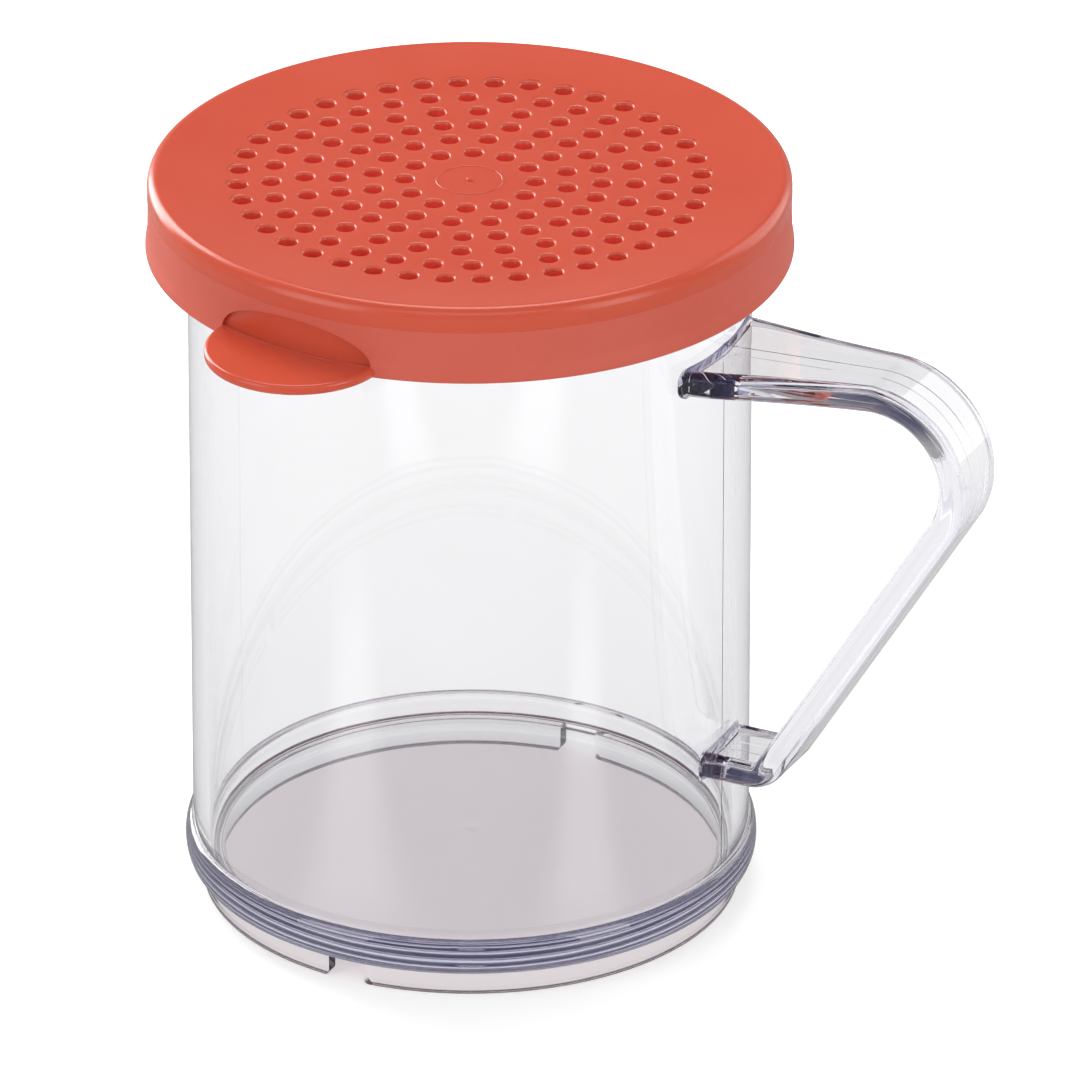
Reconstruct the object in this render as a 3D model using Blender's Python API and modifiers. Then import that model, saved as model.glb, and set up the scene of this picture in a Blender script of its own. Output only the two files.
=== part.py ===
"""Handled spice shaker: a clear cup moulded in one piece with its handle, and a lid that clips
over its rim, with a round field of shaking holes and a thumb tab.

Metres, +Z up. Both pieces are shaped about the cup's axis, and then moved so that the origin
lies on the resting plane, below the middle of the whole shaker. +X points to the handle.
"""
import math

import bmesh
import bpy
from mathutils import Matrix, Vector

# Cup: wall, floor and mouth
CUP_HEIGHT = 0.0971
CUP_RADIUS = 0.0359
CUP_WALL = 0.0021
FLOOR_THICKNESS = 0.0025
INSIDE_CORNER_ROUND = 0.0020

# Cup: foot ring, its drain notches and the bead above it
FOOT_HEIGHT = 0.0037
FOOT_SET_IN = 0.0012
FOOT_WALL = 0.0018
FOOT_RECESS_DEPTH = 0.0040
NOTCH_WIDTH = 0.0050
NOTCH_OFFSET = -0.0005
BEAD_HEIGHT = 0.0049
BEAD_BULGE = 0.0010

# Cup: rim that the lid clips over
RIM_REACH = 0.0024
RIM_THICKNESS = 0.0018
RIM_SLOPE_HEIGHT = 0.0012

# Handle: a flat strap, seen from the side as two arms and a sloping grip
HANDLE_THICKNESS = 0.0036
HANDLE_EDGE_ROUND = 0.0013
HANDLE_ROOT_WIDTH = 0.0200
HANDLE_GRIP_WIDTH = 0.0110
HANDLE_TAPER_LENGTH = 0.0360
HANDLE_DROP_BELOW_RIM = 0.0160
HANDLE_ARM_RISE = 0.0025
HANDLE_CORNER_REACH = 0.0435
HANDLE_HEEL_HEIGHT = 0.0254
HANDLE_HEEL_REACH = 0.0079
HANDLE_BEND_RADIUS = 0.0113
HEEL_INNER_ROUND = 0.0008
HEEL_OUTER_ROUND = 0.0055

# Lid: dished plate, skirt and snap bead
LID_PLATE = 0.0016
LID_DISH = 0.0011
LID_RIM_THICKNESS = 0.0021
LID_SEAT_GAP = 0.0003
LID_EDGE_ROUND = 0.0014
SKIRT_HEIGHT = 0.0100
SKIRT_WALL = 0.0014
SKIRT_LIP_HEIGHT = 0.0014
SKIRT_LIP_REACH = 0.0003
SNAP_GAP = 0.0003
SNAP_BEAD_REACH = 0.0009
SNAP_BEAD_HEIGHT = 0.0014

# Lid: thumb tab and the shallow scoop above it
TAB_ANGLE = math.radians(-96.7)
TAB_RADIUS = 0.01165
TAB_SET_IN = 0.0016
TAB_THICKNESS = 0.00135
SCOOP_DEPTH = 0.0006
SCOOP_HEIGHT = 0.0045
SCOOP_END_MARGIN = 0.0005

# Lid: shaking holes, in rings about the axis
HOLE_DIAMETER = 0.0023
FIRST_RING_RADIUS = 0.0083
HOLE_FIELD_MARGIN = 0.0044
HOLE_FIELD_BORDER = 0.0003
RING_COUNTS = (12, 16, 24, 24, 32, 40)
HOLE_PHASE = math.radians(38.5)

# One overrun for every cut
OVERRUN = 0.0020

# Facets
TURN_STEPS = 64
HOLE_SIDES = 10
ARC_STEPS = 3
BEND_STEPS = 9

# Sizes that follow from the ones above
MOUTH_RADIUS = CUP_RADIUS - CUP_WALL
FOOT_RADIUS = CUP_RADIUS - FOOT_SET_IN
FLOOR_TOP = FOOT_RECESS_DEPTH + FLOOR_THICKNESS
RIM_RADIUS = CUP_RADIUS + RIM_REACH
LID_UNDERSIDE = CUP_HEIGHT + LID_SEAT_GAP
SNAP_RADIUS = RIM_RADIUS + SNAP_GAP
SKIRT_INNER_RADIUS = SNAP_RADIUS + SNAP_BEAD_REACH
SKIRT_RADIUS = SKIRT_INNER_RADIUS + SKIRT_WALL
SKIRT_BOTTOM = LID_RIM_THICKNESS - SKIRT_HEIGHT
LIP_RADIUS = SKIRT_RADIUS + SKIRT_LIP_REACH
LAST_RING_RADIUS = MOUTH_RADIUS - HOLE_FIELD_MARGIN
HOLE_FIELD_RADIUS = LAST_RING_RADIUS + HOLE_DIAMETER / 2 + HOLE_FIELD_BORDER
PLATE_TOP = LID_RIM_THICKNESS - LID_DISH

PARTS = "spice_shaker"
CUTTERS = "cutters"
CLEAR_PLASTIC = ("clear_polycarbonate", (0.86, 0.87, 0.90, 1.0), 0.08)
RED_PLASTIC = ("red_lid_plastic", (0.70, 0.12, 0.075, 1.0), 0.35)
SHARP_ANGLE = math.radians(30)
WELD = 0.00001


def clear_scene():
    for item in list(bpy.data.objects):
        bpy.data.objects.remove(item, do_unlink=True)


def make_collection(name):
    group = bpy.data.collections.new(name)
    bpy.context.scene.collection.children.link(group)
    return group


def make_material(name, colour, roughness):
    material = bpy.data.materials.new(name)
    material.use_nodes = True
    surface = material.node_tree.nodes["Principled BSDF"]
    surface.inputs["Base Color"].default_value = colour
    surface.inputs["Roughness"].default_value = roughness
    surface.inputs["Metallic"].default_value = 0.0
    return material


def make_object(name, bm, group):
    mesh = bpy.data.meshes.new(name)
    bm.to_mesh(mesh)
    bm.free()
    item = bpy.data.objects.new(name, mesh)
    group.objects.link(item)
    return item


def hide_cutter(item):
    item.hide_render = True
    item.display_type = "WIRE"
    return item


def make_cutter(name, bm):
    return hide_cutter(make_object(name, bm, bpy.data.collections[CUTTERS]))


def turned(name, profile, group):
    """A solid turned from (radius, height) points that start and end on the axis."""
    bm = bmesh.new()
    points = [bm.verts.new((radius, 0, height)) for radius, height in profile]
    for start, end in zip(points, points[1:]):
        bm.edges.new((start, end))
    item = make_object(name, bm, group)
    spin = item.modifiers.new("Turn", "SCREW")
    spin.steps = spin.render_steps = TURN_STEPS
    spin.use_merge_vertices = True
    spin.merge_threshold = WELD
    return item


def turned_cutter(name, profile):
    return hide_cutter(turned(name, profile, bpy.data.collections[CUTTERS]))


def combine(item, operation, other):
    step = item.modifiers.new(f"{operation} {other.name}", "BOOLEAN")
    step.operation = operation
    step.solver = "EXACT"
    step.object = other


def finish(item, material):
    """Keep the evaluated shape as the object's own mesh, smooth but for its edges."""
    bpy.context.view_layer.update()
    graph = bpy.context.evaluated_depsgraph_get()
    mesh = bpy.data.meshes.new_from_object(item.evaluated_get(graph))
    mesh.name = item.name
    item.modifiers.clear()
    item.data = mesh
    mesh.shade_smooth()
    mesh.set_sharp_from_angle(angle=SHARP_ANGLE)
    mesh.materials.clear()
    mesh.materials.append(material)


def arc(centre, radius, start, end, steps):
    """Points of an arc about a (radius, height) centre, both ends included."""
    turns = [start + (end - start) * k / steps for k in range(steps + 1)]
    return [(centre[0] + radius * math.cos(a), centre[1] + radius * math.sin(a)) for a in turns]


def bead_profile():
    """The rounded bead on the wall above the foot, from top to bottom."""
    half = BEAD_HEIGHT / 2
    middle = FOOT_HEIGHT + half
    steps = 2 * ARC_STEPS
    turns = [math.pi / 2 - math.pi * k / steps for k in range(steps + 1)]
    return [(CUP_RADIUS + BEAD_BULGE * math.cos(a), middle + half * math.sin(a)) for a in turns]


def cup_outside():
    slope_top = CUP_HEIGHT - RIM_THICKNESS
    foot_inside = FOOT_RADIUS - FOOT_WALL
    return [
        (0, CUP_HEIGHT),
        (RIM_RADIUS, CUP_HEIGHT),
        (RIM_RADIUS, slope_top),
        (CUP_RADIUS, slope_top - RIM_SLOPE_HEIGHT),
        *bead_profile(),
        (FOOT_RADIUS, FOOT_HEIGHT),
        (FOOT_RADIUS, 0),
        (foot_inside, 0),
        (foot_inside, FOOT_RECESS_DEPTH),
        (0, FOOT_RECESS_DEPTH),
    ]


def cup_inside():
    corner = (MOUTH_RADIUS - INSIDE_CORNER_ROUND, FLOOR_TOP + INSIDE_CORNER_ROUND)
    top = CUP_HEIGHT + OVERRUN
    return [
        (0, top),
        (MOUTH_RADIUS, top),
        *arc(corner, INSIDE_CORNER_ROUND, 0, -math.pi / 2, ARC_STEPS),
        (0, FLOOR_TOP),
    ]


def notch_cutter():
    """One bar across the foot ring, which opens a drain notch at each end."""
    bm = bmesh.new()
    bmesh.ops.create_cube(bm, size=1)
    length = 2 * (FOOT_RADIUS + OVERRUN)
    height = FOOT_HEIGHT + OVERRUN
    bmesh.ops.scale(bm, vec=(NOTCH_WIDTH, length, height), verts=bm.verts)
    place = (NOTCH_OFFSET, 0, FOOT_HEIGHT - height / 2)
    bmesh.ops.translate(bm, vec=place, verts=bm.verts)
    return make_cutter("notch_cutter", bm)


def handle_corners():
    """Corners of the strap's middle line in the XZ plane, from inside the wall and back."""
    top = CUP_HEIGHT - HANDLE_DROP_BELOW_RIM
    slope = HANDLE_ARM_RISE / HANDLE_CORNER_REACH
    inside = CUP_WALL + OVERRUN
    return [
        Vector((CUP_RADIUS - inside, top - slope * inside)),
        Vector((CUP_RADIUS + HANDLE_CORNER_REACH, top + HANDLE_ARM_RISE)),
        Vector((CUP_RADIUS + HANDLE_HEEL_REACH, HANDLE_HEEL_HEIGHT)),
        Vector((CUP_RADIUS - inside, HANDLE_HEEL_HEIGHT)),
    ]


def offset_line(corners, distance):
    """The same corners with every run moved sideways, to the outside of the loop."""
    runs = [(b - a).normalized() for a, b in zip(corners, corners[1:])]
    sides = [Vector((-run.y, run.x)) * distance for run in runs]
    moved = [corners[0] + sides[0]]
    for k in range(1, len(runs)):
        a, b = corners[k] + sides[k - 1], corners[k] + sides[k]
        along = (b - a).cross(runs[k]) / runs[k - 1].cross(runs[k])
        moved.append(a + runs[k - 1] * along)
    return moved + [corners[-1] + sides[-1]]


def rounded_corner(before, corner, after, radius, steps):
    """Points of the round that joins two runs at a corner."""
    back = (before - corner).normalized()
    ahead = (after - corner).normalized()
    half = back.angle(ahead) / 2
    centre = corner + (back + ahead).normalized() * radius / math.sin(half)
    start = corner + back * radius / math.tan(half) - centre
    end = corner + ahead * radius / math.tan(half) - centre
    sweep = start.angle_signed(end)
    turns = [sweep * k / steps for k in range(steps + 1)]
    return [centre + Matrix.Rotation(-turn, 2) @ start for turn in turns]


def face_line(distance, bend, heel):
    """One face of the strap from the upper root to the lower one."""
    a, b, c, d = offset_line(handle_corners(), distance)
    upper = rounded_corner(a, b, c, bend, BEND_STEPS)
    arm = [a.lerp(upper[0], k / ARC_STEPS) for k in range(ARC_STEPS)]
    return [*arm, *upper, *rounded_corner(b, c, d, heel, ARC_STEPS), d]


def strap_section(outer, inner, width):
    """A round-edged rectangle across the strap, between its two faces."""
    middle = (outer + inner) / 2
    up = (outer - inner).normalized()
    across = width / 2 - HANDLE_EDGE_ROUND
    through = (outer - inner).length / 2 - HANDLE_EDGE_ROUND
    points = []
    for corner in range(4):
        start = corner * math.pi / 2
        y_side = 1 if corner in (0, 3) else -1
        up_side = 1 if corner in (0, 1) else -1
        for y, rise in arc((0, 0), HANDLE_EDGE_ROUND, start, start + math.pi / 2, ARC_STEPS):
            place = middle + up * (through * up_side + rise)
            points.append((place.x, across * y_side + y, place.y))
    return points


def strap_width(travel):
    """Width at a distance along the strap from the wall: it narrows, then stays even."""
    left = max(0, 1 - max(0, travel) / HANDLE_TAPER_LENGTH)
    return HANDLE_GRIP_WIDTH + (HANDLE_ROOT_WIDTH - HANDLE_GRIP_WIDTH) * left ** 2


def handle_solid():
    half = HANDLE_THICKNESS / 2
    outer = face_line(half, HANDLE_BEND_RADIUS + half, HEEL_OUTER_ROUND)
    inner = face_line(-half, HANDLE_BEND_RADIUS - half, HEEL_INNER_ROUND)
    bm = bmesh.new()
    travel = -(CUP_WALL + OVERRUN)
    previous, middle = None, (outer[0] + inner[0]) / 2
    loops = []
    for top, bottom in zip(outer, inner):
        here = (top + bottom) / 2
        travel += (here - middle).length
        middle = here
        ring = [bm.verts.new(p) for p in strap_section(top, bottom, strap_width(travel))]
        loops.append([bm.edges.new((a, b)) for a, b in zip(ring, ring[1:] + ring[:1])])
        if previous:
            bmesh.ops.bridge_loops(bm, edges=previous + loops[-1])
        previous = loops[-1]
    for loop in (loops[0], loops[-1]):
        bmesh.ops.edgeloop_fill(bm, edges=loop)
    bmesh.ops.recalc_face_normals(bm, faces=bm.faces)
    return make_cutter("handle_strap", bm)


def make_cup(group, material):
    cup = turned("cup", cup_outside(), group)
    combine(cup, "UNION", handle_solid())
    combine(cup, "DIFFERENCE", turned_cutter("cup_cavity", cup_inside()))
    combine(cup, "DIFFERENCE", notch_cutter())
    finish(cup, material)
    return cup


def lid_outside():
    """The lid as a full puck, heights counted from where it sits on the cup's rim."""
    edge = (SKIRT_RADIUS - LID_EDGE_ROUND, LID_RIM_THICKNESS - LID_EDGE_ROUND)
    lip_top = SKIRT_BOTTOM + SKIRT_LIP_HEIGHT
    return [
        (0, PLATE_TOP),
        (HOLE_FIELD_RADIUS, PLATE_TOP),
        *arc(edge, LID_EDGE_ROUND, math.pi / 2, 0, ARC_STEPS),
        (SKIRT_RADIUS, lip_top + SKIRT_LIP_REACH),
        (LIP_RADIUS, lip_top),
        (LIP_RADIUS, SKIRT_BOTTOM),
        (0, SKIRT_BOTTOM),
    ]


def lid_inside():
    """The hollow under the plate, with the snap bead standing into it below the rim."""
    bead_top = -RIM_THICKNESS - RIM_SLOPE_HEIGHT
    bead_middle = bead_top - SNAP_BEAD_HEIGHT / 2
    bottom = SKIRT_BOTTOM - OVERRUN
    plate_under = PLATE_TOP - LID_PLATE
    return [
        (0, plate_under),
        (HOLE_FIELD_RADIUS, plate_under),
        ((HOLE_FIELD_RADIUS + MOUTH_RADIUS) / 2, 0),
        (SKIRT_INNER_RADIUS, 0),
        (SKIRT_INNER_RADIUS, bead_top),
        (SNAP_RADIUS, bead_middle),
        (SKIRT_INNER_RADIUS, bead_top - SNAP_BEAD_HEIGHT),
        (SKIRT_INNER_RADIUS, bottom),
        (0, bottom),
    ]


def tab_solid():
    bm = bmesh.new()
    bmesh.ops.create_cone(
        bm, cap_ends=True, segments=TURN_STEPS // 2,
        radius1=TAB_RADIUS, radius2=TAB_RADIUS, depth=TAB_THICKNESS)
    out = SKIRT_RADIUS - TAB_SET_IN
    place = (out * math.cos(TAB_ANGLE), out * math.sin(TAB_ANGLE),
             LID_UNDERSIDE + SKIRT_BOTTOM + TAB_THICKNESS / 2)
    bmesh.ops.translate(bm, vec=place, verts=bm.verts)
    return make_cutter("tab_disc", bm)


def scoop_cutter():
    """An upright half-oval pressed a little way into the skirt, above the tab."""
    bm = bmesh.new()
    reach = SKIRT_WALL + OVERRUN
    bmesh.ops.create_cone(
        bm, cap_ends=True, segments=TURN_STEPS // 2, radius1=1, radius2=1, depth=reach)
    half_width = TAB_RADIUS - SCOOP_END_MARGIN
    bmesh.ops.scale(bm, vec=(SCOOP_HEIGHT, half_width, 1), verts=bm.verts)
    bmesh.ops.rotate(bm, cent=(0, 0, 0), matrix=Matrix.Rotation(math.pi / 2, 3, "Y"), verts=bm.verts)
    bmesh.ops.translate(bm, vec=(SKIRT_RADIUS, 0, 0), verts=bm.verts)
    bmesh.ops.rotate(bm, cent=(0, 0, 0), matrix=Matrix.Rotation(TAB_ANGLE, 3, "Z"), verts=bm.verts)
    height = LID_UNDERSIDE + SKIRT_BOTTOM + TAB_THICKNESS
    bmesh.ops.translate(bm, vec=(0, 0, height), verts=bm.verts)
    scoop = make_cutter("scoop_cutter", bm)
    low = LID_UNDERSIDE + SKIRT_BOTTOM - OVERRUN
    core_radius = SKIRT_RADIUS - SCOOP_DEPTH
    core = [(0, CUP_HEIGHT), (core_radius, CUP_HEIGHT), (core_radius, low), (0, low)]
    combine(scoop, "DIFFERENCE", turned_cutter("scoop_core", core))
    return scoop


def hole_places():
    gaps = len(RING_COUNTS) - 1
    for ring, count in enumerate(RING_COUNTS):
        radius = FIRST_RING_RADIUS + (LAST_RING_RADIUS - FIRST_RING_RADIUS) * ring / gaps
        step = 2 * math.pi / count
        first = HOLE_PHASE + (step / 2 if ring == 0 else 0)
        for k in range(count):
            turn = first + k * step
            yield radius * math.cos(turn), radius * math.sin(turn)


def hole_cutters():
    bm = bmesh.new()
    depth = LID_PLATE + 2 * OVERRUN
    middle = LID_UNDERSIDE + PLATE_TOP - LID_PLATE / 2
    for x, y in hole_places():
        pin = bmesh.ops.create_cone(
            bm, cap_ends=True, segments=HOLE_SIDES,
            radius1=HOLE_DIAMETER / 2, radius2=HOLE_DIAMETER / 2, depth=depth)
        bmesh.ops.translate(bm, vec=(x, y, middle), verts=pin["verts"])
    return make_cutter("hole_pins", bm)


def make_lid(group, material):
    lid = turned("shaker_lid", lid_outside(), group)
    lid.location.z = LID_UNDERSIDE
    hollow = turned_cutter("lid_hollow", lid_inside())
    hollow.location.z = LID_UNDERSIDE
    combine(lid, "DIFFERENCE", scoop_cutter())
    combine(lid, "UNION", tab_solid())
    combine(lid, "DIFFERENCE", hollow)
    combine(lid, "DIFFERENCE", hole_cutters())
    finish(lid, material)
    return lid


def centre_on_origin(pieces):
    """Bring the middle of the pieces' common box above the origin, at the height they have."""
    bpy.context.view_layer.update()
    corners = [item.matrix_world @ Vector(corner) for item in pieces for corner in item.bound_box]
    for axis in (0, 1):
        places = [corner[axis] for corner in corners]
        middle = (min(places) + max(places)) / 2
        for item in pieces:
            item.location[axis] -= middle


def main():
    clear_scene()
    parts = make_collection(PARTS)
    make_collection(CUTTERS)
    cup = make_cup(parts, make_material(*CLEAR_PLASTIC))
    lid = make_lid(parts, make_material(*RED_PLASTIC))
    centre_on_origin((cup, lid))


main()
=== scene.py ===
"""The looks of a handled spice shaker: a clear cup with its strap handle, and a coral lid.

Both pieces are shaped about the cup's own axis, in metres, and then moved to where the frame
has that axis.
"""
import math

import bmesh
import bpy
from mathutils import Matrix, Vector


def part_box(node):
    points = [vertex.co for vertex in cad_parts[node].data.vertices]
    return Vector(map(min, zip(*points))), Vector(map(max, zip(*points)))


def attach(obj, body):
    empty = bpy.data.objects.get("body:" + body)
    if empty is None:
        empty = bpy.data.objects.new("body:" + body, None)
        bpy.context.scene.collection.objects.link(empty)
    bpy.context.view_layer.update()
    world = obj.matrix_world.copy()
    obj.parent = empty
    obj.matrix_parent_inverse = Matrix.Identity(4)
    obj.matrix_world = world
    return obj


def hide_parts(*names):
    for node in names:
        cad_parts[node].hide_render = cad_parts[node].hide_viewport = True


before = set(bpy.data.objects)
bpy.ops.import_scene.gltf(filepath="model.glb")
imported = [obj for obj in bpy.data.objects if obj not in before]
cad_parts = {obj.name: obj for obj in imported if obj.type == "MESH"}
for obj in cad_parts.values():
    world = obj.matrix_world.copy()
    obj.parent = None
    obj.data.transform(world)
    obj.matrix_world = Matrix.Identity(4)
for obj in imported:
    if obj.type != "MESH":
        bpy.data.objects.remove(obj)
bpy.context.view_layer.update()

LID_LOW, LID_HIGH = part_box("shaker_lid")
CUP_LOW, CUP_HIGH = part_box("cup")
MM = 0.001

# Where the cup's axis stands, and the sizes that the frame gives
LIP_RADIUS = (LID_HIGH.x - LID_LOW.x) / 2
AXIS = Vector(((LID_LOW.x + LID_HIGH.x) / 2, LID_HIGH.y - LIP_RADIUS, 0))
LID_TOP = LID_HIGH.z
SKIRT_BOTTOM = LID_LOW.z
CUP_TOP = CUP_HIGH.z
RIM_RADIUS = AXIS.x - CUP_LOW.x

# Cup: wall, floor, foot and bead
CUP_RADIUS = 35.9 * MM
MOUTH_RADIUS = 33.8 * MM
FLOOR_UNDER = 4.0 * MM
FLOOR_TOP = 6.5 * MM
CORNER_ROUND = 2.0 * MM
FOOT_RADIUS = 34.7 * MM
FOOT_INSIDE = 32.9 * MM
FOOT_HEIGHT = 3.7 * MM
BEAD_HEIGHT = 4.9 * MM
BEAD_TOP = FOOT_HEIGHT + BEAD_HEIGHT
BEAD_BULGE = 1.0 * MM
RIM_THICKNESS = 1.8 * MM
RIM_SLOPE = 1.2 * MM
SMALL_ROUND = 0.35 * MM
NOTCH_WIDTH = 5.0 * MM
NOTCH_OFFSET = -0.5 * MM
NOTCH_ROUND = 1.0 * MM
NOTCH_ROUND_START = 262
NOTCH_SPREAD = 0.8
GATE_RADIUS = 1.3 * MM
GATE_HEIGHT = 0.1 * MM

# Handle
STRAP_THICKNESS = 3.6 * MM
STRAP_EDGE_ROUND = 1.3 * MM
STRAP_ROOT_WIDTH = 20.0 * MM
STRAP_GRIP_WIDTH = 11.0 * MM
STRAP_TAPER_LENGTH = 36.0 * MM
STRAP_TOP = CUP_TOP - 16.0 * MM
STRAP_RISE = 2.5 * MM
STRAP_REACH = 43.46 * MM
HEEL_HEIGHT = 25.4 * MM
HEEL_REACH = 7.9 * MM
BEND_RADIUS = 11.3 * MM
HEEL_INNER_ROUND = 0.8 * MM
HEEL_OUTER_ROUND = 5.5 * MM
ROOT_DEPTH = 1.0 * MM
ROOT_FILLET = 0.6 * MM
FILLET_SWEEP = 0.9
FILLET_FADE = 6
SEAM_DEPTH = 0.08 * MM

# Lid
PLATE_TOP = LID_TOP - 1.1 * MM
PLATE_THICKNESS = 1.6 * MM
SKIRT_RADIUS = LIP_RADIUS - 0.3 * MM
SKIRT_INSIDE = 39.5 * MM
SEAT = 97.4 * MM
SHOULDER_ROUND = 1.4 * MM
PARTING_HEIGHT = 96.4 * MM
PARTING_STEP = 0.06 * MM
LIP_HEIGHT = 1.4 * MM
SNAP_RADIUS = 38.6 * MM
SNAP_TOP = SEAT - 3.0 * MM
SNAP_HEIGHT = 1.4 * MM
UNDER_SLOPE = 1.0 * MM
DISH_START = 26.0 * MM
DISH_CURVE = 1.5
TAB_ANGLE = math.radians(-96.7)
TAB_RADIUS = 11.65 * MM
TAB_OUT = SKIRT_RADIUS - 1.6 * MM
TAB_THICKNESS = 1.35 * MM
TAB_EDGE_ROUND = 0.5 * MM
SCOOP_DEPTH = 0.6 * MM
SCOOP_HEIGHT = 4.5 * MM
SCOOP_HALF_WIDTH = 11.15 * MM
HOLE_RADIUS = 1.15 * MM
HOLE_RIM_ROUND = 0.42 * MM
FIRST_RING = 8.3 * MM
LAST_RING = 29.4 * MM
HOLES_END = 31.0 * MM
RING_COUNTS = (12, 16, 24, 24, 32, 40)
HOLE_PHASE = math.radians(38.5)
CENTRE_RING_RADIUS = 4.2 * MM
CENTRE_RING_WIDTH = 0.3 * MM
CENTRE_RING_RISE = 0.12 * MM
GATE_NUB_RADIUS = 0.45 * MM
GATE_NUB_HEIGHT = 0.3 * MM

# Allowances, and how many steps each kind of round or run is cut into
OVERRUN = 2.0 * MM
WELD = 0.001 * MM
SHARP = math.radians(32)
TURN_STEPS = 256
ARC_STEPS = 8
TIGHT_ARC_STEPS = 3
CORNER_STEPS = 10
BEAD_STEPS = 24
WALL_STEPS = 24
FLAT_STEPS = 12
BEND_STEPS = 72
HEEL_STEPS = 40
GRIP_STEPS = 24
ARM_STEPS = 10
PLATE_STEPS = 48
SHOULDER_STEPS = 12
TAB_STEPS = 96
SCOOP_STEPS = 128
RING_STEPS = 128
NUB_STEPS = 32
HOLE_SIDES = 28
HOLE_RIM_STEPS = 4

# The photograph's view: its angles, and where its middle lies from the lid's centre
VIEW_AZIMUTH = math.radians(26.4)
VIEW_ELEVATION = math.radians(26.37)
VIEW_DISTANCE = 1.9229
VIEW_RIGHT = 0.0089
VIEW_UP = -0.0456
VIEW_HEIGHT = 98.4 * MM
LENS = 506.1
SENSOR = 36

# Clear plastic: its cast, its haze and the waves in its surface
CLEAR_IOR = 1.585
CLEAR_CAST = (0.5, 0.49, 0.76, 1)
CLEAR_DENSITY = 11.0
CLEAR_ROUGHNESS = 0.01
HAZE_SCALE = 150.0
HAZE_ROUGHNESS = 0.02
BEAD_ROUGHNESS = 0.04
WAVE_SCALE = 45.0
WAVE_STRENGTH = 0.06
WAVE_DEPTH = 0.5 * MM
RIPPLE_SCALE = 240.0
RIPPLE_SHARE = 0.3

# Coral of the matt skirt and of the satin plate, each in its darker and lighter clouds. The
# matt pair is paler and pinker than the satin one: painted sheen, for the haze that the rough
# skirt's reflections give.
CORAL_TONES = (
    ((0.56, 0.09, 0.055, 1), (0.62, 0.11, 0.07, 1)),
    ((0.56, 0.075, 0.036, 1), (0.61, 0.09, 0.044, 1)))
# Painted shade: the holes' walls take a deeper, more saturated red, for the shade and the red
# light bounced about inside them
HOLE_SHADE_TONE = (0.72, 0.045, 0.022, 1)
CORAL_IOR = 1.49
MATT_ROUGHNESS = 0.5
SATIN_GAIN = 0.28
CLOUD_ROUGHNESS = 0.04
HOLE_ROUGHNESS = 0.4
CLOUD_SCALE = 60.0
GRAIN_SCALE = 2600.0
GRAIN_DETAIL = 4.0
GRAIN_STRENGTH = 0.25
GRAIN_DEPTH = 0.05 * MM
UNDER_SKIN = 0.15
UNDER_SKIN_DEPTH = 2.0 * MM
UNDER_SKIN_SPREAD = (1.0, 0.25, 0.15)

# Studio: the floor, the room and the painted streaks, as each kind of ray meets them
WHITE = (1, 1, 1, 1)
FLOOR_HALF_SIZE = 8
FLOOR_TONE = (0.8, 0.8, 0.8, 1)
FLOOR_GLOW = 0.42
FLOOR_GLOW_IN_GLASS = 0.58
# Painted light: the floor under the cup glows brighter and pinker, for the light that comes
# through the clear cup and off the coral lid
UNDER_CUP_PAINTED_LIGHT = (1.22, 1.13, 1.15, 1)
FLOOR_IN_GLOSS = (0.3, 0.3, 0.3, 1)
HORIZON_TONE = (1, 1, 1, 1)
OVERHEAD_TONE = (0.17, 0.17, 0.33, 1)
OVERHEAD_START = 0.12
OVERHEAD_FULL = 0.5
FILL_TONE = (0.44, 0.44, 0.44, 1)
GLOSS_STRENGTH = 0.35
# Painted light: two strips of the floor, each given by its angle round from the view and its
# width, glow for reflected rays only and paint bright streaks into the cup's wall
STREAK_PLACES = ((-50, 0.03), (49, 0.022))
STREAK_CORE = 0.2
STREAK_EDGE = 0.8
STREAK_NEAR = 0.03
STREAK_FADE = 0.07
STREAK_FAR = 0.14
STREAK_GLOW = 0.8
LIGHT_BOUNCES = 48

# Soft boxes: name, width, height, power, angle round from the view, angle up, distance
LAMPS = (
    ("left_box", 0.5, 0.9, 3.0, -54, 18, 0.9),
    ("right_box", 0.35, 0.9, 2.6, 52, 18, 0.9),
    ("left_rim_box", 0.4, 0.9, 8.0, -140, 20, 0.9),
    ("right_rim_box", 0.6, 0.9, 2.8, 128, 20, 0.9),
    ("front_box", 0.8, 0.5, 1.8, 0, 48, 1.1),
    ("top_box", 0.5, 0.5, 3.5, 180, 60, 1.2),
)


def arc(centre, radius, start, end, steps=ARC_STEPS):
    """Points of a round about a (radius, height) centre, between two angles in degrees."""
    turns = [math.radians(start + (end - start) * k / steps) for k in range(steps + 1)]
    return [(centre[0] + radius * math.cos(a), centre[1] + radius * math.sin(a)) for a in turns]


def line(start, end, steps):
    """Points between two places, without the last one."""
    return [tuple(a + (b - a) * k / steps for a, b in zip(start, end)) for k in range(steps)]


def close_up(bm):
    """Weld a skin's points and turn its faces outwards."""
    bmesh.ops.remove_doubles(bm, verts=bm.verts, dist=WELD)
    bmesh.ops.recalc_face_normals(bm, faces=bm.faces)


def spun(profile, steps=TURN_STEPS, closed=False):
    """A bmesh turned about the axis from a line of (radius, height) points."""
    bm = bmesh.new()
    verts = [bm.verts.new((radius, 0, height)) for radius, height in profile]
    ends = verts[1:] + verts[:1] if closed else verts[1:]
    edges = [bm.edges.new(pair) for pair in zip(verts, ends)]
    bmesh.ops.spin(
        bm, geom=verts + edges, cent=(0, 0, 0), axis=(0, 0, 1), dvec=(0, 0, 0),
        angle=2 * math.pi, steps=steps, use_merge=True, use_normal_flip=False,
        use_duplicate=False)
    close_up(bm)
    return bm


def as_object(name, bm):
    """Make a bmesh into an object of the scene."""
    mesh = bpy.data.meshes.new(name)
    bm.to_mesh(mesh)
    bm.free()
    item = bpy.data.objects.new(name, mesh)
    bpy.context.scene.collection.objects.link(item)
    return item


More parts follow.
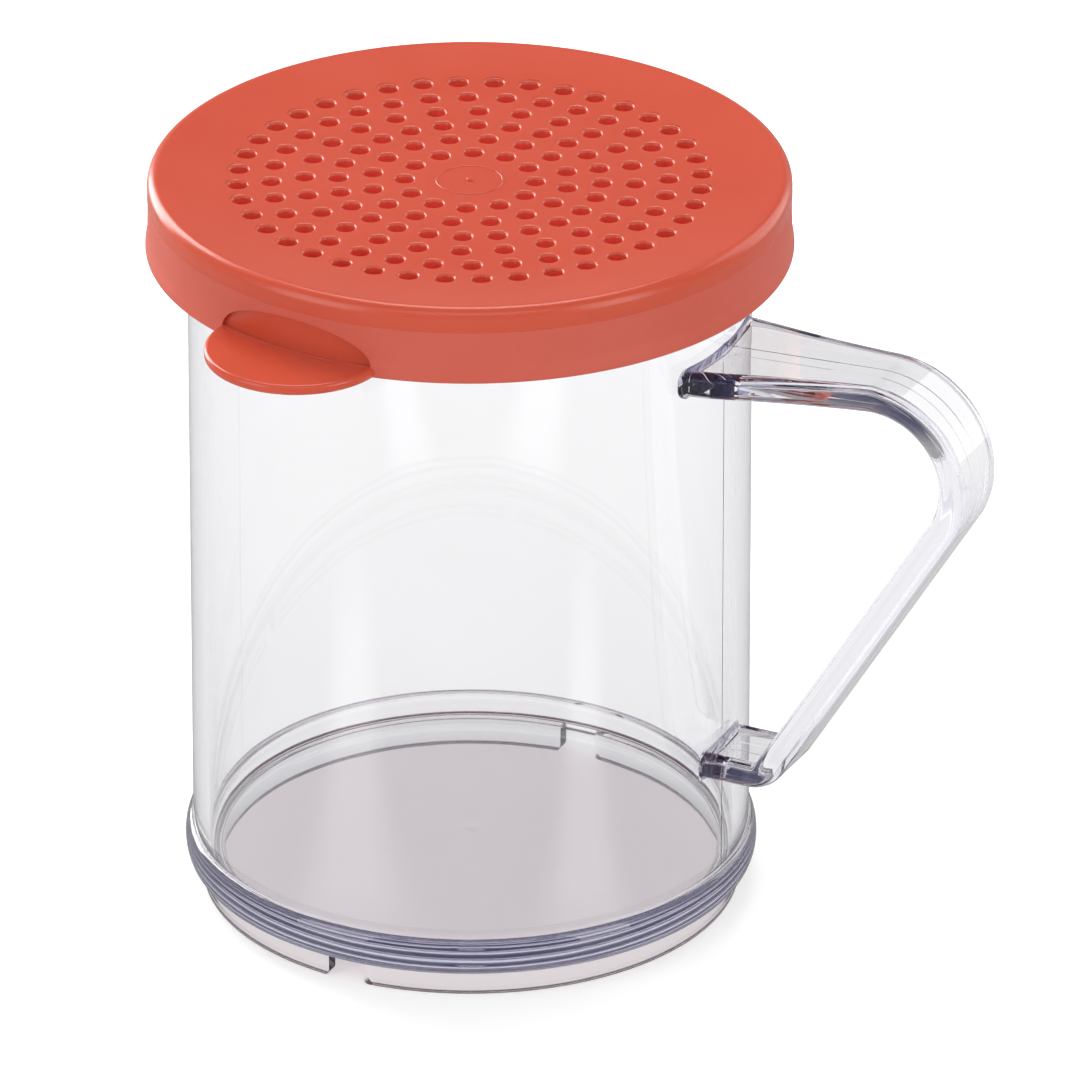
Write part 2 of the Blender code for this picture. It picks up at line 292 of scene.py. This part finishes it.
def combine(item, operation, bm):
    """Cut a bmesh out of an object, or join it on, for good."""
    other = as_object("other", bm)
    step = item.modifiers.new(operation, "BOOLEAN")
    step.operation, step.solver, step.object = operation, "EXACT", other
    bpy.context.view_layer.update()
    graph = bpy.context.evaluated_depsgraph_get()
    mesh = bpy.data.meshes.new_from_object(item.evaluated_get(graph))
    item.modifiers.clear()
    item.data = mesh
    bpy.data.objects.remove(other)


def finish_piece(item, body, node, material):
    """Weld, shade and place a piece, and tell the frame what it is."""
    bm = bmesh.new()
    bm.from_mesh(item.data)
    bmesh.ops.remove_doubles(bm, verts=bm.verts, dist=WELD)
    bmesh.ops.dissolve_degenerate(bm, edges=bm.edges, dist=WELD)
    bmesh.ops.translate(bm, verts=bm.verts, vec=AXIS)
    bm.to_mesh(item.data)
    bm.free()
    item.data.name = item.name
    item.data.shade_smooth()
    item.data.set_sharp_from_angle(angle=SHARP)
    item.modifiers.new("even_shading", "WEIGHTED_NORMAL").keep_sharp = True
    item.data.materials.clear()
    item.data.materials.append(material)
    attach(item, body)
    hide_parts(node)


def cup_profile():
    """The cup's section, from the middle of the floor's underside out and back to its top."""
    round_ = SMALL_ROUND
    slope_top = CUP_TOP - RIM_THICKNESS
    slope_bottom = slope_top - RIM_SLOPE
    corner_top = FLOOR_TOP + CORNER_ROUND
    bead_middle = FOOT_HEIGHT + BEAD_HEIGHT / 2
    bead = [
        (CUP_RADIUS + BEAD_BULGE * math.cos(a), bead_middle + BEAD_HEIGHT / 2 * math.sin(a))
        for a in (math.radians(-90 + 180 * k / BEAD_STEPS) for k in range(BEAD_STEPS + 1))]
    return [
        *line((0, FLOOR_UNDER), (FOOT_INSIDE - round_, FLOOR_UNDER), FLAT_STEPS),
        *arc((FOOT_INSIDE - round_, FLOOR_UNDER - round_), round_, 90, 0),
        *arc((FOOT_INSIDE + round_, round_), round_, 180, 270),
        *arc((FOOT_RADIUS - round_, round_), round_, -90, 0),
        *arc((FOOT_RADIUS + round_ / 2, FOOT_HEIGHT - round_ / 2), round_ / 2, 180, 90,
             TIGHT_ARC_STEPS),
        *bead,
        *line((CUP_RADIUS, BEAD_TOP), (CUP_RADIUS, slope_bottom), WALL_STEPS)[1:],
        (CUP_RADIUS, slope_bottom),
        (RIM_RADIUS, slope_top),
        *arc((RIM_RADIUS - round_, CUP_TOP - round_), round_, 0, 90),
        *arc((MOUTH_RADIUS + round_, CUP_TOP - round_), round_, 90, 180),
        *line((MOUTH_RADIUS, CUP_TOP - round_), (MOUTH_RADIUS, corner_top), WALL_STEPS)[1:],
        *arc((MOUTH_RADIUS - CORNER_ROUND, corner_top), CORNER_ROUND, 0, -90, CORNER_STEPS),
        *line((MOUTH_RADIUS - CORNER_ROUND, FLOOR_TOP), (GATE_RADIUS, FLOOR_TOP),
              FLAT_STEPS)[1:],
        *((GATE_RADIUS * k / ARC_STEPS,
           FLOOR_TOP + GATE_HEIGHT * math.cos(math.pi / (2 * ARC_STEPS) * k) ** 2)
          for k in range(ARC_STEPS, -1, -1)),
    ]


def strap_corners():
    """Corners of the strap's middle line, in the plane of the handle, from root to root."""
    slope = STRAP_RISE / STRAP_REACH
    return [
        Vector((CUP_RADIUS - ROOT_DEPTH, STRAP_TOP - slope * ROOT_DEPTH)),
        Vector((CUP_RADIUS + STRAP_REACH, STRAP_TOP + STRAP_RISE)),
        Vector((CUP_RADIUS + HEEL_REACH, HEEL_HEIGHT)),
        Vector((CUP_RADIUS - ROOT_DEPTH, HEEL_HEIGHT)),
    ]


def offset_line(corners, distance):
    """The same corners with every run moved sideways, to the outside of the loop."""
    runs = [(b - a).normalized() for a, b in zip(corners, corners[1:])]
    sides = [Vector((-run.y, run.x)) * distance for run in runs]
    moved = [corners[0] + sides[0]]
    for k in range(1, len(runs)):
        a, b = corners[k] + sides[k - 1], corners[k] + sides[k]
        along = (b - a).cross(runs[k]) / runs[k - 1].cross(runs[k])
        moved.append(a + runs[k - 1] * along)
    return moved + [corners[-1] + sides[-1]]


def rounded_corner(before, corner, after, radius, steps):
    """Points of the round that joins two runs at a corner."""
    back, ahead = (before - corner).normalized(), (after - corner).normalized()
    half = back.angle(ahead) / 2
    centre = corner + (back + ahead).normalized() * radius / math.sin(half)
    start = corner + back * radius / math.tan(half) - centre
    end = corner + ahead * radius / math.tan(half) - centre
    sweep = start.angle_signed(end)
    turns = [sweep * k / steps for k in range(steps + 1)]
    return [centre + Matrix.Rotation(-turn, 2) @ start for turn in turns]


def root_steps(start, end):
    """Places along an arm near its root, close together where the fillet curves."""
    run = end - start
    fillet = [ROOT_DEPTH + ROOT_FILLET * (k / ARC_STEPS) ** 2 for k in range(ARC_STEPS + 1)]
    near = [start + run.normalized() * d for d in (0, *fillet)]
    return near + [near[-1].lerp(end, k / ARM_STEPS) for k in range(1, ARM_STEPS)]


def face_line(distance, bend, heel):
    """One face of the strap from the upper root to the lower one."""
    a, b, c, d = offset_line(strap_corners(), distance)
    upper = rounded_corner(a, b, c, bend, BEND_STEPS)
    lower = rounded_corner(b, c, d, heel, HEEL_STEPS)
    grip = [upper[-1].lerp(lower[0], k / GRIP_STEPS) for k in range(1, GRIP_STEPS)]
    upper_arm, lower_arm = root_steps(a, upper[0]), root_steps(d, lower[-1])
    return [*upper_arm, *upper, *grip, *lower, *reversed(lower_arm)]


def strap_section(outer, inner, width, grow):
    """A round-edged rectangle across the strap, grown all round, with a seam in each face."""
    middle = (outer + inner) / 2
    up = (outer - inner).normalized()
    across = width / 2 - STRAP_EDGE_ROUND
    through = (outer - inner).length / 2 - STRAP_EDGE_ROUND
    round_ = STRAP_EDGE_ROUND + grow
    points = []
    for corner in range(4):
        y_side = 1 if corner in (0, 3) else -1
        up_side = 1 if corner in (0, 1) else -1
        start = corner * 90
        for y, rise in arc((0, 0), round_, start, start + 90):
            points.append((across * y_side + y, through * up_side + rise))
        if y_side == up_side:
            level = through + round_
            seam = [(SEAM_DEPTH, level), (0, level - SEAM_DEPTH), (-SEAM_DEPTH, level)]
            points += [(y * up_side, rise * up_side) for y, rise in seam]
    places = [(y, middle + up * rise) for y, rise in points]
    return [Vector((place.x, y, place.y)) for y, place in places]


def strap_width(travel):
    """Width at a distance along the strap from the wall: it narrows, then stays even."""
    left = max(0, 1 - max(0, travel) / STRAP_TAPER_LENGTH)
    return STRAP_GRIP_WIDTH + (STRAP_ROOT_WIDTH - STRAP_GRIP_WIDTH) * left ** 2


def fillet_growth(out):
    """How much wider the strap is than plain at a distance from the wall, where it flares."""
    inside = min(FILLET_SWEEP, max(0, 1 - out / ROOT_FILLET))
    return ROOT_FILLET * (1 - math.sqrt(1 - inside ** 2))


def wrapped(point, out):
    """Move a point of the root in, so that the root's end follows the round wall."""
    fade = max(0, 1 - max(0, out) / (FILLET_FADE * ROOT_FILLET))
    sagitta = CUP_RADIUS - math.sqrt(CUP_RADIUS ** 2 - point.y ** 2)
    return point - Vector((sagitta * fade, 0, 0))


def strap_faces():
    """The strap's outer and inner face lines, point against point."""
    half = STRAP_THICKNESS / 2
    outer = face_line(half, BEND_RADIUS + half, HEEL_OUTER_ROUND)
    inner = face_line(-half, BEND_RADIUS - half, HEEL_INNER_ROUND)
    return list(zip(outer, inner))


def lofted(sections):
    """A bmesh of one closed skin through a row of closed sections."""
    bm = bmesh.new()
    loops = []
    for section in sections:
        ring = [bm.verts.new(point) for point in section]
        loops.append([bm.edges.new(pair) for pair in zip(ring, ring[1:] + ring[:1])])
        if len(loops) > 1:
            bmesh.ops.bridge_loops(bm, edges=loops[-2] + loops[-1])
    for loop in (loops[0], loops[-1]):
        bmesh.ops.edgeloop_fill(bm, edges=loop)
    close_up(bm)
    return bm


def strap_solid():
    """The whole strap, with its ends let into the wall."""
    faces = strap_faces()
    middles = [(a + b) / 2 for a, b in faces]
    travel, sections = -ROOT_DEPTH, []
    for k, (top, bottom) in enumerate(faces):
        travel += (middles[k] - middles[max(0, k - 1)]).length
        out = middles[k].x - CUP_RADIUS
        section = strap_section(top, bottom, strap_width(travel), fillet_growth(out))
        sections.append([wrapped(point, out) for point in section])
    return lofted(sections)


def wall_seams():
    """Upright bars that cut the parting line into the wall, clear of the strap's roots."""
    clear = STRAP_THICKNESS / 2 + 2 * ROOT_FILLET
    low = BEAD_TOP + SMALL_ROUND
    high = CUP_TOP - RIM_THICKNESS - RIM_SLOPE
    runs = [
        (CUP_RADIUS, low, HEEL_HEIGHT - clear),
        (CUP_RADIUS, HEEL_HEIGHT + clear, STRAP_TOP - clear),
        (CUP_RADIUS, STRAP_TOP + clear, high),
        (-CUP_RADIUS, low, high)]
    bm = bmesh.new()
    side = SEAM_DEPTH * math.sqrt(2)
    for x, start, end in runs:
        made = bmesh.ops.create_cube(bm, size=1)["verts"]
        bmesh.ops.scale(bm, verts=made, vec=(side, side, end - start))
        turn = Matrix.Rotation(math.pi / 4, 3, "Z")
        bmesh.ops.rotate(bm, verts=made, cent=(0, 0, 0), matrix=turn)
        bmesh.ops.translate(bm, verts=made, vec=(x, 0, (start + end) / 2))
    return bm


def notch_bar():
    """A bar across the foot, wider at its lower edge, which leaves rounded corners."""
    half, round_ = NOTCH_WIDTH / 2, NOTCH_ROUND
    top = FOOT_HEIGHT - SMALL_ROUND / 2
    right = [
        (half + NOTCH_SPREAD * round_, -OVERRUN),
        *arc((half + round_, round_), round_, NOTCH_ROUND_START, 180),
        (half, top)]
    outline = right + [(-x, z) for x, z in reversed(right)]
    bm = bmesh.new()
    reach = FOOT_RADIUS + OVERRUN
    ring = [bm.verts.new((NOTCH_OFFSET + x, -reach, z)) for x, z in outline]
    face = bm.faces.new(ring)
    made = bmesh.ops.extrude_face_region(bm, geom=[face])
    moved = [v for v in made["geom"] if isinstance(v, bmesh.types.BMVert)]
    bmesh.ops.translate(bm, verts=moved, vec=(0, 2 * reach, 0))
    close_up(bm)
    return bm


def make_cup(material):
    """The whole cup: its spun body, the strap, the notches and the parting line."""
    cup = as_object("clear_cup", spun(cup_profile()))
    combine(cup, "UNION", strap_solid())
    for cutter in (notch_bar(), wall_seams()):
        combine(cup, "DIFFERENCE", cutter)
    finish_piece(cup, "cup", "cup", material)


def plate_height(radius):
    """The plate's dish: level in the middle, and rising towards the shoulder."""
    share = max(0, radius - DISH_START) / (SKIRT_RADIUS - SHOULDER_ROUND - DISH_START)
    return PLATE_TOP + (LID_TOP - PLATE_TOP) * share ** DISH_CURVE


def lid_profile():
    """The lid's section, from the middle of its top out and back to its underside."""
    edge = SKIRT_RADIUS - SHOULDER_ROUND
    across = [edge * k / PLATE_STEPS for k in range(PLATE_STEPS)]
    under = PLATE_TOP - PLATE_THICKNESS
    round_ = SMALL_ROUND
    step = PARTING_STEP
    lip = LIP_RADIUS - SKIRT_RADIUS
    flare = SKIRT_BOTTOM + 2 * LIP_HEIGHT
    return [
        *((radius, plate_height(radius)) for radius in across),
        *arc((edge, LID_TOP - SHOULDER_ROUND), SHOULDER_ROUND, 90, 0, SHOULDER_STEPS),
        (SKIRT_RADIUS, PARTING_HEIGHT + step),
        (SKIRT_RADIUS - step, PARTING_HEIGHT),
        *line((SKIRT_RADIUS - step, PARTING_HEIGHT), (SKIRT_RADIUS, flare), ARC_STEPS)[1:],
        *((LIP_RADIUS - lip * math.cos(math.pi / 2 * k / ARC_STEPS) ** 2,
           flare + (SKIRT_BOTTOM + round_ - flare) * k / ARC_STEPS)
          for k in range(ARC_STEPS)),
        *arc((LIP_RADIUS - round_, SKIRT_BOTTOM + round_), round_, 0, -90),
        *arc((SKIRT_INSIDE + round_, SKIRT_BOTTOM + round_), round_, 270, 180),
        (SKIRT_INSIDE, SNAP_TOP - SNAP_HEIGHT),
        (SNAP_RADIUS, SNAP_TOP - SNAP_HEIGHT / 2),
        (SKIRT_INSIDE, SNAP_TOP),
        (SKIRT_INSIDE, SEAT),
        (MOUTH_RADIUS - UNDER_SLOPE, SEAT),
        (MOUTH_RADIUS - 2 * UNDER_SLOPE, under),
        *line((MOUTH_RADIUS - 2 * UNDER_SLOPE, under), (0, under), FLAT_STEPS)[1:],
        (0, under),
    ]


def tab_solid():
    """The thumb tab: a thin disc with a rounded edge."""
    round_, low = TAB_EDGE_ROUND, SKIRT_BOTTOM
    high = low + TAB_THICKNESS
    bm = spun([
        (0, high),
        *arc((TAB_RADIUS - round_, high - round_), round_, 90, 0),
        *arc((TAB_RADIUS - round_, low + round_), round_, 0, -90),
        (0, low)], TAB_STEPS)
    out = Vector((math.cos(TAB_ANGLE), math.sin(TAB_ANGLE), 0)) * TAB_OUT
    bmesh.ops.translate(bm, verts=bm.verts, vec=out)
    return bm


def scoop_solid():
    """An upright half-oval that presses a little way into the skirt, above the tab."""
    bm = bmesh.new()
    reach = 2 * OVERRUN
    bmesh.ops.create_cone(
        bm, cap_ends=True, segments=SCOOP_STEPS, radius1=1, radius2=1, depth=reach)
    bmesh.ops.scale(bm, verts=bm.verts, vec=(SCOOP_HEIGHT, SCOOP_HALF_WIDTH, 1))
    bmesh.ops.rotate(
        bm, verts=bm.verts, cent=(0, 0, 0), matrix=Matrix.Rotation(math.pi / 2, 3, "Y"))
    bmesh.ops.translate(bm, verts=bm.verts, vec=(SKIRT_RADIUS, 0, SKIRT_BOTTOM + TAB_THICKNESS))
    bmesh.ops.rotate(
        bm, verts=bm.verts, cent=(0, 0, 0), matrix=Matrix.Rotation(TAB_ANGLE, 3, "Z"))
    scoop = as_object("scoop", bm)
    core = SKIRT_RADIUS - SCOOP_DEPTH
    combine(scoop, "DIFFERENCE", spun([(0, LID_TOP), (core, LID_TOP), (core, 0), (0, 0)]))
    pressed = bmesh.new()
    pressed.from_mesh(scoop.data)
    bpy.data.objects.remove(scoop)
    return pressed


def centre_ring():
    """The thin raised circle round the middle of the plate."""
    low = PLATE_TOP - CENTRE_RING_RISE
    bulge = [
        (CENTRE_RING_RADIUS + CENTRE_RING_WIDTH / 2 * math.cos(a),
         PLATE_TOP + CENTRE_RING_RISE * math.sin(a))
        for a in (math.radians(180 * k / ARC_STEPS) for k in range(ARC_STEPS + 1))]
    outside, inside = bulge[0][0], bulge[-1][0]
    return spun([*bulge, (inside, low), (outside, low)], RING_STEPS, closed=True)


def gate_nub():
    """The small stub that the mould's gate leaves at the middle of the plate."""
    low, high = PLATE_TOP - GATE_NUB_HEIGHT, PLATE_TOP + GATE_NUB_HEIGHT
    round_ = GATE_NUB_RADIUS / 2
    top = arc((GATE_NUB_RADIUS - round_, high - round_), round_, 90, 0)
    return spun([(0, high), *top, (GATE_NUB_RADIUS, low), (0, low)], NUB_STEPS)


def hole_places():
    """The middle of each shaking hole in the plate's top, ring by ring."""
    for ring, count in enumerate(RING_COUNTS):
        radius = FIRST_RING + (LAST_RING - FIRST_RING) * ring / (len(RING_COUNTS) - 1)
        step = 2 * math.pi / count
        first = HOLE_PHASE + (step / 2 if ring == 0 else 0)
        for k in range(count):
            turn = first + k * step
            yield radius * math.cos(turn), radius * math.sin(turn), plate_height(radius)


def hole_pins():
    """One pin for each shaking hole, flared at the plate's top, which leaves a round rim."""
    wide = HOLE_RADIUS + HOLE_RIM_ROUND
    flare = arc((wide, -HOLE_RIM_ROUND), HOLE_RIM_ROUND, 90, 180, HOLE_RIM_STEPS)
    low = -PLATE_THICKNESS - OVERRUN
    profile = [(0, OVERRUN), (wide, OVERRUN), *flare, (HOLE_RADIUS, low), (0, low)]
    pin = spun(profile, HOLE_SIDES)
    mesh = bpy.data.meshes.new("hole_pin")
    pin.to_mesh(mesh)
    pin.free()
    bm = bmesh.new()
    for place in hole_places():
        before = len(bm.verts)
        bm.from_mesh(mesh)
        bm.verts.ensure_lookup_table()
        bmesh.ops.translate(bm, verts=bm.verts[before:], vec=place)
    return bm


def make_lid(material):
    """The whole lid: its spun body, the scoop and tab, the plate's marks and the holes."""
    lid = as_object("coral_lid", spun(lid_profile()))
    combine(lid, "DIFFERENCE", scoop_solid())
    for addition in (tab_solid(), centre_ring(), gate_nub()):
        combine(lid, "UNION", addition)
    combine(lid, "DIFFERENCE", hole_pins())
    finish_piece(lid, "lid", "shaker_lid", material)


class Value:
    """A node's output. Sums written on it become Math nodes."""

    def __init__(self, paint, socket):
        self.paint, self.socket = paint, socket

    def maths(self, operation, *others):
        return self.paint.node("Math", {"operation": operation}, enumerate((self, *others)))

    def __add__(self, other):
        return self.maths("ADD", other)

    def __sub__(self, other):
        return self.maths("SUBTRACT", other)

    def __rsub__(self, other):
        return self.maths("MULTIPLY_ADD", -1, other)

    def __mul__(self, other):
        return self.maths("MULTIPLY", other)

    def __gt__(self, other):
        return self.maths("GREATER_THAN", other)

    def __lt__(self, other):
        return self.maths("LESS_THAN", other)

    __radd__, __rmul__ = __add__, __mul__


class Paint:
    """A node tree, and the one way of adding a node to it."""

    def __init__(self, owner):
        owner.use_nodes = True
        self.tree = owner.node_tree
        self.tree.nodes.clear()

    def node(self, kind, settings=None, sockets=(), out=0):
        made = self.tree.nodes.new("ShaderNode" + kind)
        for name, value in (settings or {}).items():
            setattr(made, name, value)
        for name, value in dict(sockets).items():
            if isinstance(value, Value):
                self.tree.links.new(value.socket, made.inputs[name])
            else:
                made.inputs[name].default_value = value
        return Value(self, made.outputs[out]) if made.outputs else None


def new_paint(name):
    """A material and its node tree."""
    material = bpy.data.materials.new(name)
    return material, Paint(material)


def centred(paint):
    """Object coordinates, counted from the foot of the cup's axis."""
    place = paint.node("TexCoord", out="Object")
    return paint.node("Mapping", {}, {"Vector": place, "Location": -AXIS})


def split(paint, vector, axes="XYZ"):
    """The parts of a vector along the axes named."""
    return [paint.node("SeparateXYZ", {}, {"Vector": vector}, out=axis) for axis in axes]


def from_axis(x, y):
    """Distance from the cup's axis."""
    return (x * x + y * y).maths("SQRT")


def noise(paint, place, scale, detail=2.0):
    """Soft clouds from 0 to 1."""
    sockets = {"Vector": place, "Scale": scale, "Detail": detail}
    return paint.node("TexNoise", {}, sockets)


def mixed(paint, share, none, full):
    """A colour between two others, by a share from 0 to 1."""
    sockets = {0: share, 6: none, 7: full}
    return paint.node("Mix", {"data_type": "RGBA"}, sockets, out=2)


def ray(paint, kind):
    """1 where a surface is met by this kind of ray, else 0."""
    return paint.node("LightPath", out=f"Is {kind} Ray")


def clear_plastic():
    """Polished polycarbonate, with the faint waves of a moulding and a violet cast."""
    material, paint = new_paint("clear_polycarbonate")
    place = centred(paint)
    x, y, height = split(paint, place)
    on_bead = (from_axis(x, y) > CUP_RADIUS) * (BEAD_TOP > height)
    waves = noise(paint, place, WAVE_SCALE)
    ripples = noise(paint, place, RIPPLE_SCALE) * on_bead * RIPPLE_SHARE
    normal = paint.node("Bump", {}, {
        "Strength": WAVE_STRENGTH, "Distance": WAVE_DEPTH, "Height": waves + ripples})
    haze = noise(paint, place, HAZE_SCALE) * HAZE_ROUGHNESS
    rough = haze + on_bead * BEAD_ROUGHNESS + CLEAR_ROUGHNESS
    surface = paint.node("BsdfPrincipled", {}, {
        "Base Color": WHITE, "Transmission Weight": 1.0, "IOR": CLEAR_IOR,
        "Roughness": rough, "Normal": normal})
    inside = paint.node("VolumeAbsorption", {}, {
        "Color": CLEAR_CAST, "Density": CLEAR_DENSITY})
    paint.node("OutputMaterial", {}, {"Surface": surface, "Volume": inside})
    return material


def coral_plastic():
    """Coral polypropylene: satin on the plate and shoulder, finely matt on the skirt."""
    material, paint = new_paint("coral_polypropylene")
    place = centred(paint)
    x, y, height = split(paint, place)
    radius = from_axis(x, y)
    polished = (
        (height > PARTING_HEIGHT) + (radius > LIP_RADIUS + WELD)
        + (SKIRT_RADIUS - SCOOP_DEPTH / 2 > radius)).maths("MINIMUM", 1)
    in_hole = (PLATE_TOP - HOLE_RIM_ROUND > height) * (HOLES_END > radius)
    cloudy = noise(paint, place, CLOUD_SCALE)
    # The matt tones carry painted sheen: the skirt is paler and pinker than the plate
    matt, satin = (mixed(paint, cloudy, dark, light) for dark, light in CORAL_TONES)
    skin = mixed(paint, polished, matt, satin)
    # The holes' walls are painted with that deeper red: painted shade
    colour = mixed(paint, in_hole, skin, HOLE_SHADE_TONE)
    grain = noise(paint, place, GRAIN_SCALE, GRAIN_DETAIL)
    normal = paint.node("Bump", {}, {
        "Strength": GRAIN_STRENGTH, "Distance": GRAIN_DEPTH, "Height": grain})
    rough = (
        MATT_ROUGHNESS - polished * SATIN_GAIN
        + cloudy * CLOUD_ROUGHNESS + in_hole * HOLE_ROUGHNESS)
    surface = paint.node("BsdfPrincipled", {}, {
        "Base Color": colour, "Roughness": rough, "IOR": CORAL_IOR, "Normal": normal,
        "Subsurface Weight": UNDER_SKIN, "Subsurface Scale": UNDER_SKIN_DEPTH,
        "Subsurface Radius": UNDER_SKIN_SPREAD})
    paint.node("OutputMaterial", {}, {"Surface": surface})
    return material


def ramp(paint, value, low, high):
    """A soft step from 0 at the low value to 1 at the high one."""
    return paint.node("MapRange", {"interpolation_type": "SMOOTHSTEP"}, {
        "Value": value, "From Min": low, "From Max": high})


def painted_streak(paint, place, azimuth, width):
    """A soft-edged strip of the table that glows for reflected rays only: painted light, which
    shows as a bright streak in the cup's wall.
    """
    wall, around = (
        VIEW_AZIMUTH - math.pi / 2 + math.radians(turn) for turn in (azimuth / 2, azimuth))
    start = Matrix.Rotation(-around, 3, "Z") @ (
        Vector((math.cos(wall), math.sin(wall), 0)) * CUP_RADIUS)
    local = paint.node("Mapping", {}, {
        "Vector": place, "Rotation": (0, 0, -around), "Location": -start})
    along, aside = split(paint, local, "XY")
    spread = 1 - ramp(paint, aside.maths("ABSOLUTE"), width * STREAK_CORE, width * STREAK_EDGE)
    begin = ramp(paint, along, 0.0, STREAK_NEAR)
    end = 1 - ramp(paint, along, STREAK_FADE, STREAK_FAR)
    return spread * begin * end


def make_floor():
    """The white sweep: bright to the eye and through the cup, and dim in reflections, save for
    painted streaks of light; a painted pool of pinkish light lies under the cup.
    """
    bm = bmesh.new()
    bmesh.ops.create_grid(bm, x_segments=1, y_segments=1, size=FLOOR_HALF_SIZE)
    floor = as_object("floor", bm)
    material, paint = new_paint("white_sweep")
    camera, in_glass, glossy = (
        ray(paint, kind) for kind in ("Camera", "Transmission", "Glossy"))
    soft = paint.node("BsdfDiffuse", {}, {"Color": FLOOR_TONE})
    dim = paint.node("BsdfDiffuse", {}, {"Color": FLOOR_IN_GLOSS})
    sheet = paint.node("MixShader", {}, {0: glossy, 1: soft, 2: dim})
    place = centred(paint)
    # Painted streaks: glow that only reflections see
    painted_streaks = sum(painted_streak(paint, place, *streak_place) for streak_place in STREAK_PLACES) * STREAK_GLOW
    radius = from_axis(*split(paint, place, "XY"))
    # Painted pool of light under the cup
    cup_light_pool = 1 - ramp(paint, radius, FOOT_INSIDE, CUP_RADIUS)
    tone = mixed(paint, cup_light_pool, WHITE, UNDER_CUP_PAINTED_LIGHT)
    strength = camera * FLOOR_GLOW + in_glass * FLOOR_GLOW_IN_GLASS + glossy * painted_streaks
    glow = paint.node("Emission", {}, {"Color": tone, "Strength": strength})
    surface = paint.node("AddShader", {}, {0: sheet, 1: glow})
    paint.node("OutputMaterial", {}, {"Surface": surface})
    floor.data.materials.append(material)


def make_world():
    """White round the horizon, and a dim violet grey overhead, beyond the backdrop."""
    world = bpy.data.worlds.new("studio")
    bpy.context.scene.world = world
    paint = Paint(world)
    camera, diffuse, glossy = (ray(paint, kind) for kind in ("Camera", "Diffuse", "Glossy"))
    way = paint.node("TexCoord", out="Generated")
    up, = split(paint, way, "Z")
    overhead = ramp(paint, up, OVERHEAD_START, OVERHEAD_FULL)
    room = mixed(paint, overhead, HORIZON_TONE, OVERHEAD_TONE)
    lit = mixed(paint, diffuse, room, FILL_TONE)
    seen = mixed(paint, camera, lit, WHITE)
    strength = 1 - glossy * (1 - GLOSS_STRENGTH)
    surface = paint.node("Background", {}, {"Color": seen, "Strength": strength})
    paint.node("OutputWorld", {}, {"Surface": surface})


def towards(azimuth, elevation):
    """The way to a place that is turned from -Y round the axis and raised, in radians."""
    level = math.cos(elevation)
    return Vector((math.sin(azimuth) * level, -math.cos(azimuth) * level, math.sin(elevation)))


def make_lamp(name, width, height, power, azimuth, elevation, distance):
    """A soft box that looks at the cup, turned round it from the photograph's view."""
    light = bpy.data.lights.new(name, "AREA")
    light.shape, light.size, light.size_y, light.energy = "RECTANGLE", width, height, power
    lamp = bpy.data.objects.new(name, light)
    bpy.context.scene.collection.objects.link(lamp)
    out = towards(VIEW_AZIMUTH + math.radians(azimuth), math.radians(elevation))
    lamp.location = AXIS + Vector((0, 0, CUP_TOP / 2)) + out * distance
    lamp.rotation_mode = "QUATERNION"
    lamp.rotation_quaternion = out.to_track_quat("Z", "Y")
    lamp.visible_camera = lamp.visible_transmission = False


def make_camera():
    """The photograph's camera."""
    camera = bpy.data.objects.new("camera", bpy.data.cameras.new("camera"))
    bpy.context.scene.collection.objects.link(camera)
    right = Vector((math.cos(VIEW_AZIMUTH), math.sin(VIEW_AZIMUTH), 0))
    back = towards(VIEW_AZIMUTH, VIEW_ELEVATION)
    up = back.cross(right)
    centre = AXIS + Vector((0, 0, VIEW_HEIGHT))
    camera.location = centre + right * VIEW_RIGHT + up * VIEW_UP + back * VIEW_DISTANCE
    camera.rotation_mode = "QUATERNION"
    camera.rotation_quaternion = Matrix((right, up, back)).transposed().to_quaternion()
    camera.data.lens, camera.data.sensor_width = LENS, SENSOR
    bpy.context.scene.camera = camera


def main():
    make_camera()
    make_floor()
    make_world()
    for lamp in LAMPS:
        make_lamp(*lamp)
    make_cup(clear_plastic())
    make_lid(coral_plastic())
    scene = bpy.context.scene
    scene.view_settings.view_transform = "Standard"
    scene.cycles.max_bounces = scene.cycles.transmission_bounces = LIGHT_BOUNCES
    scene.cycles.glossy_bounces = LIGHT_BOUNCES


main()
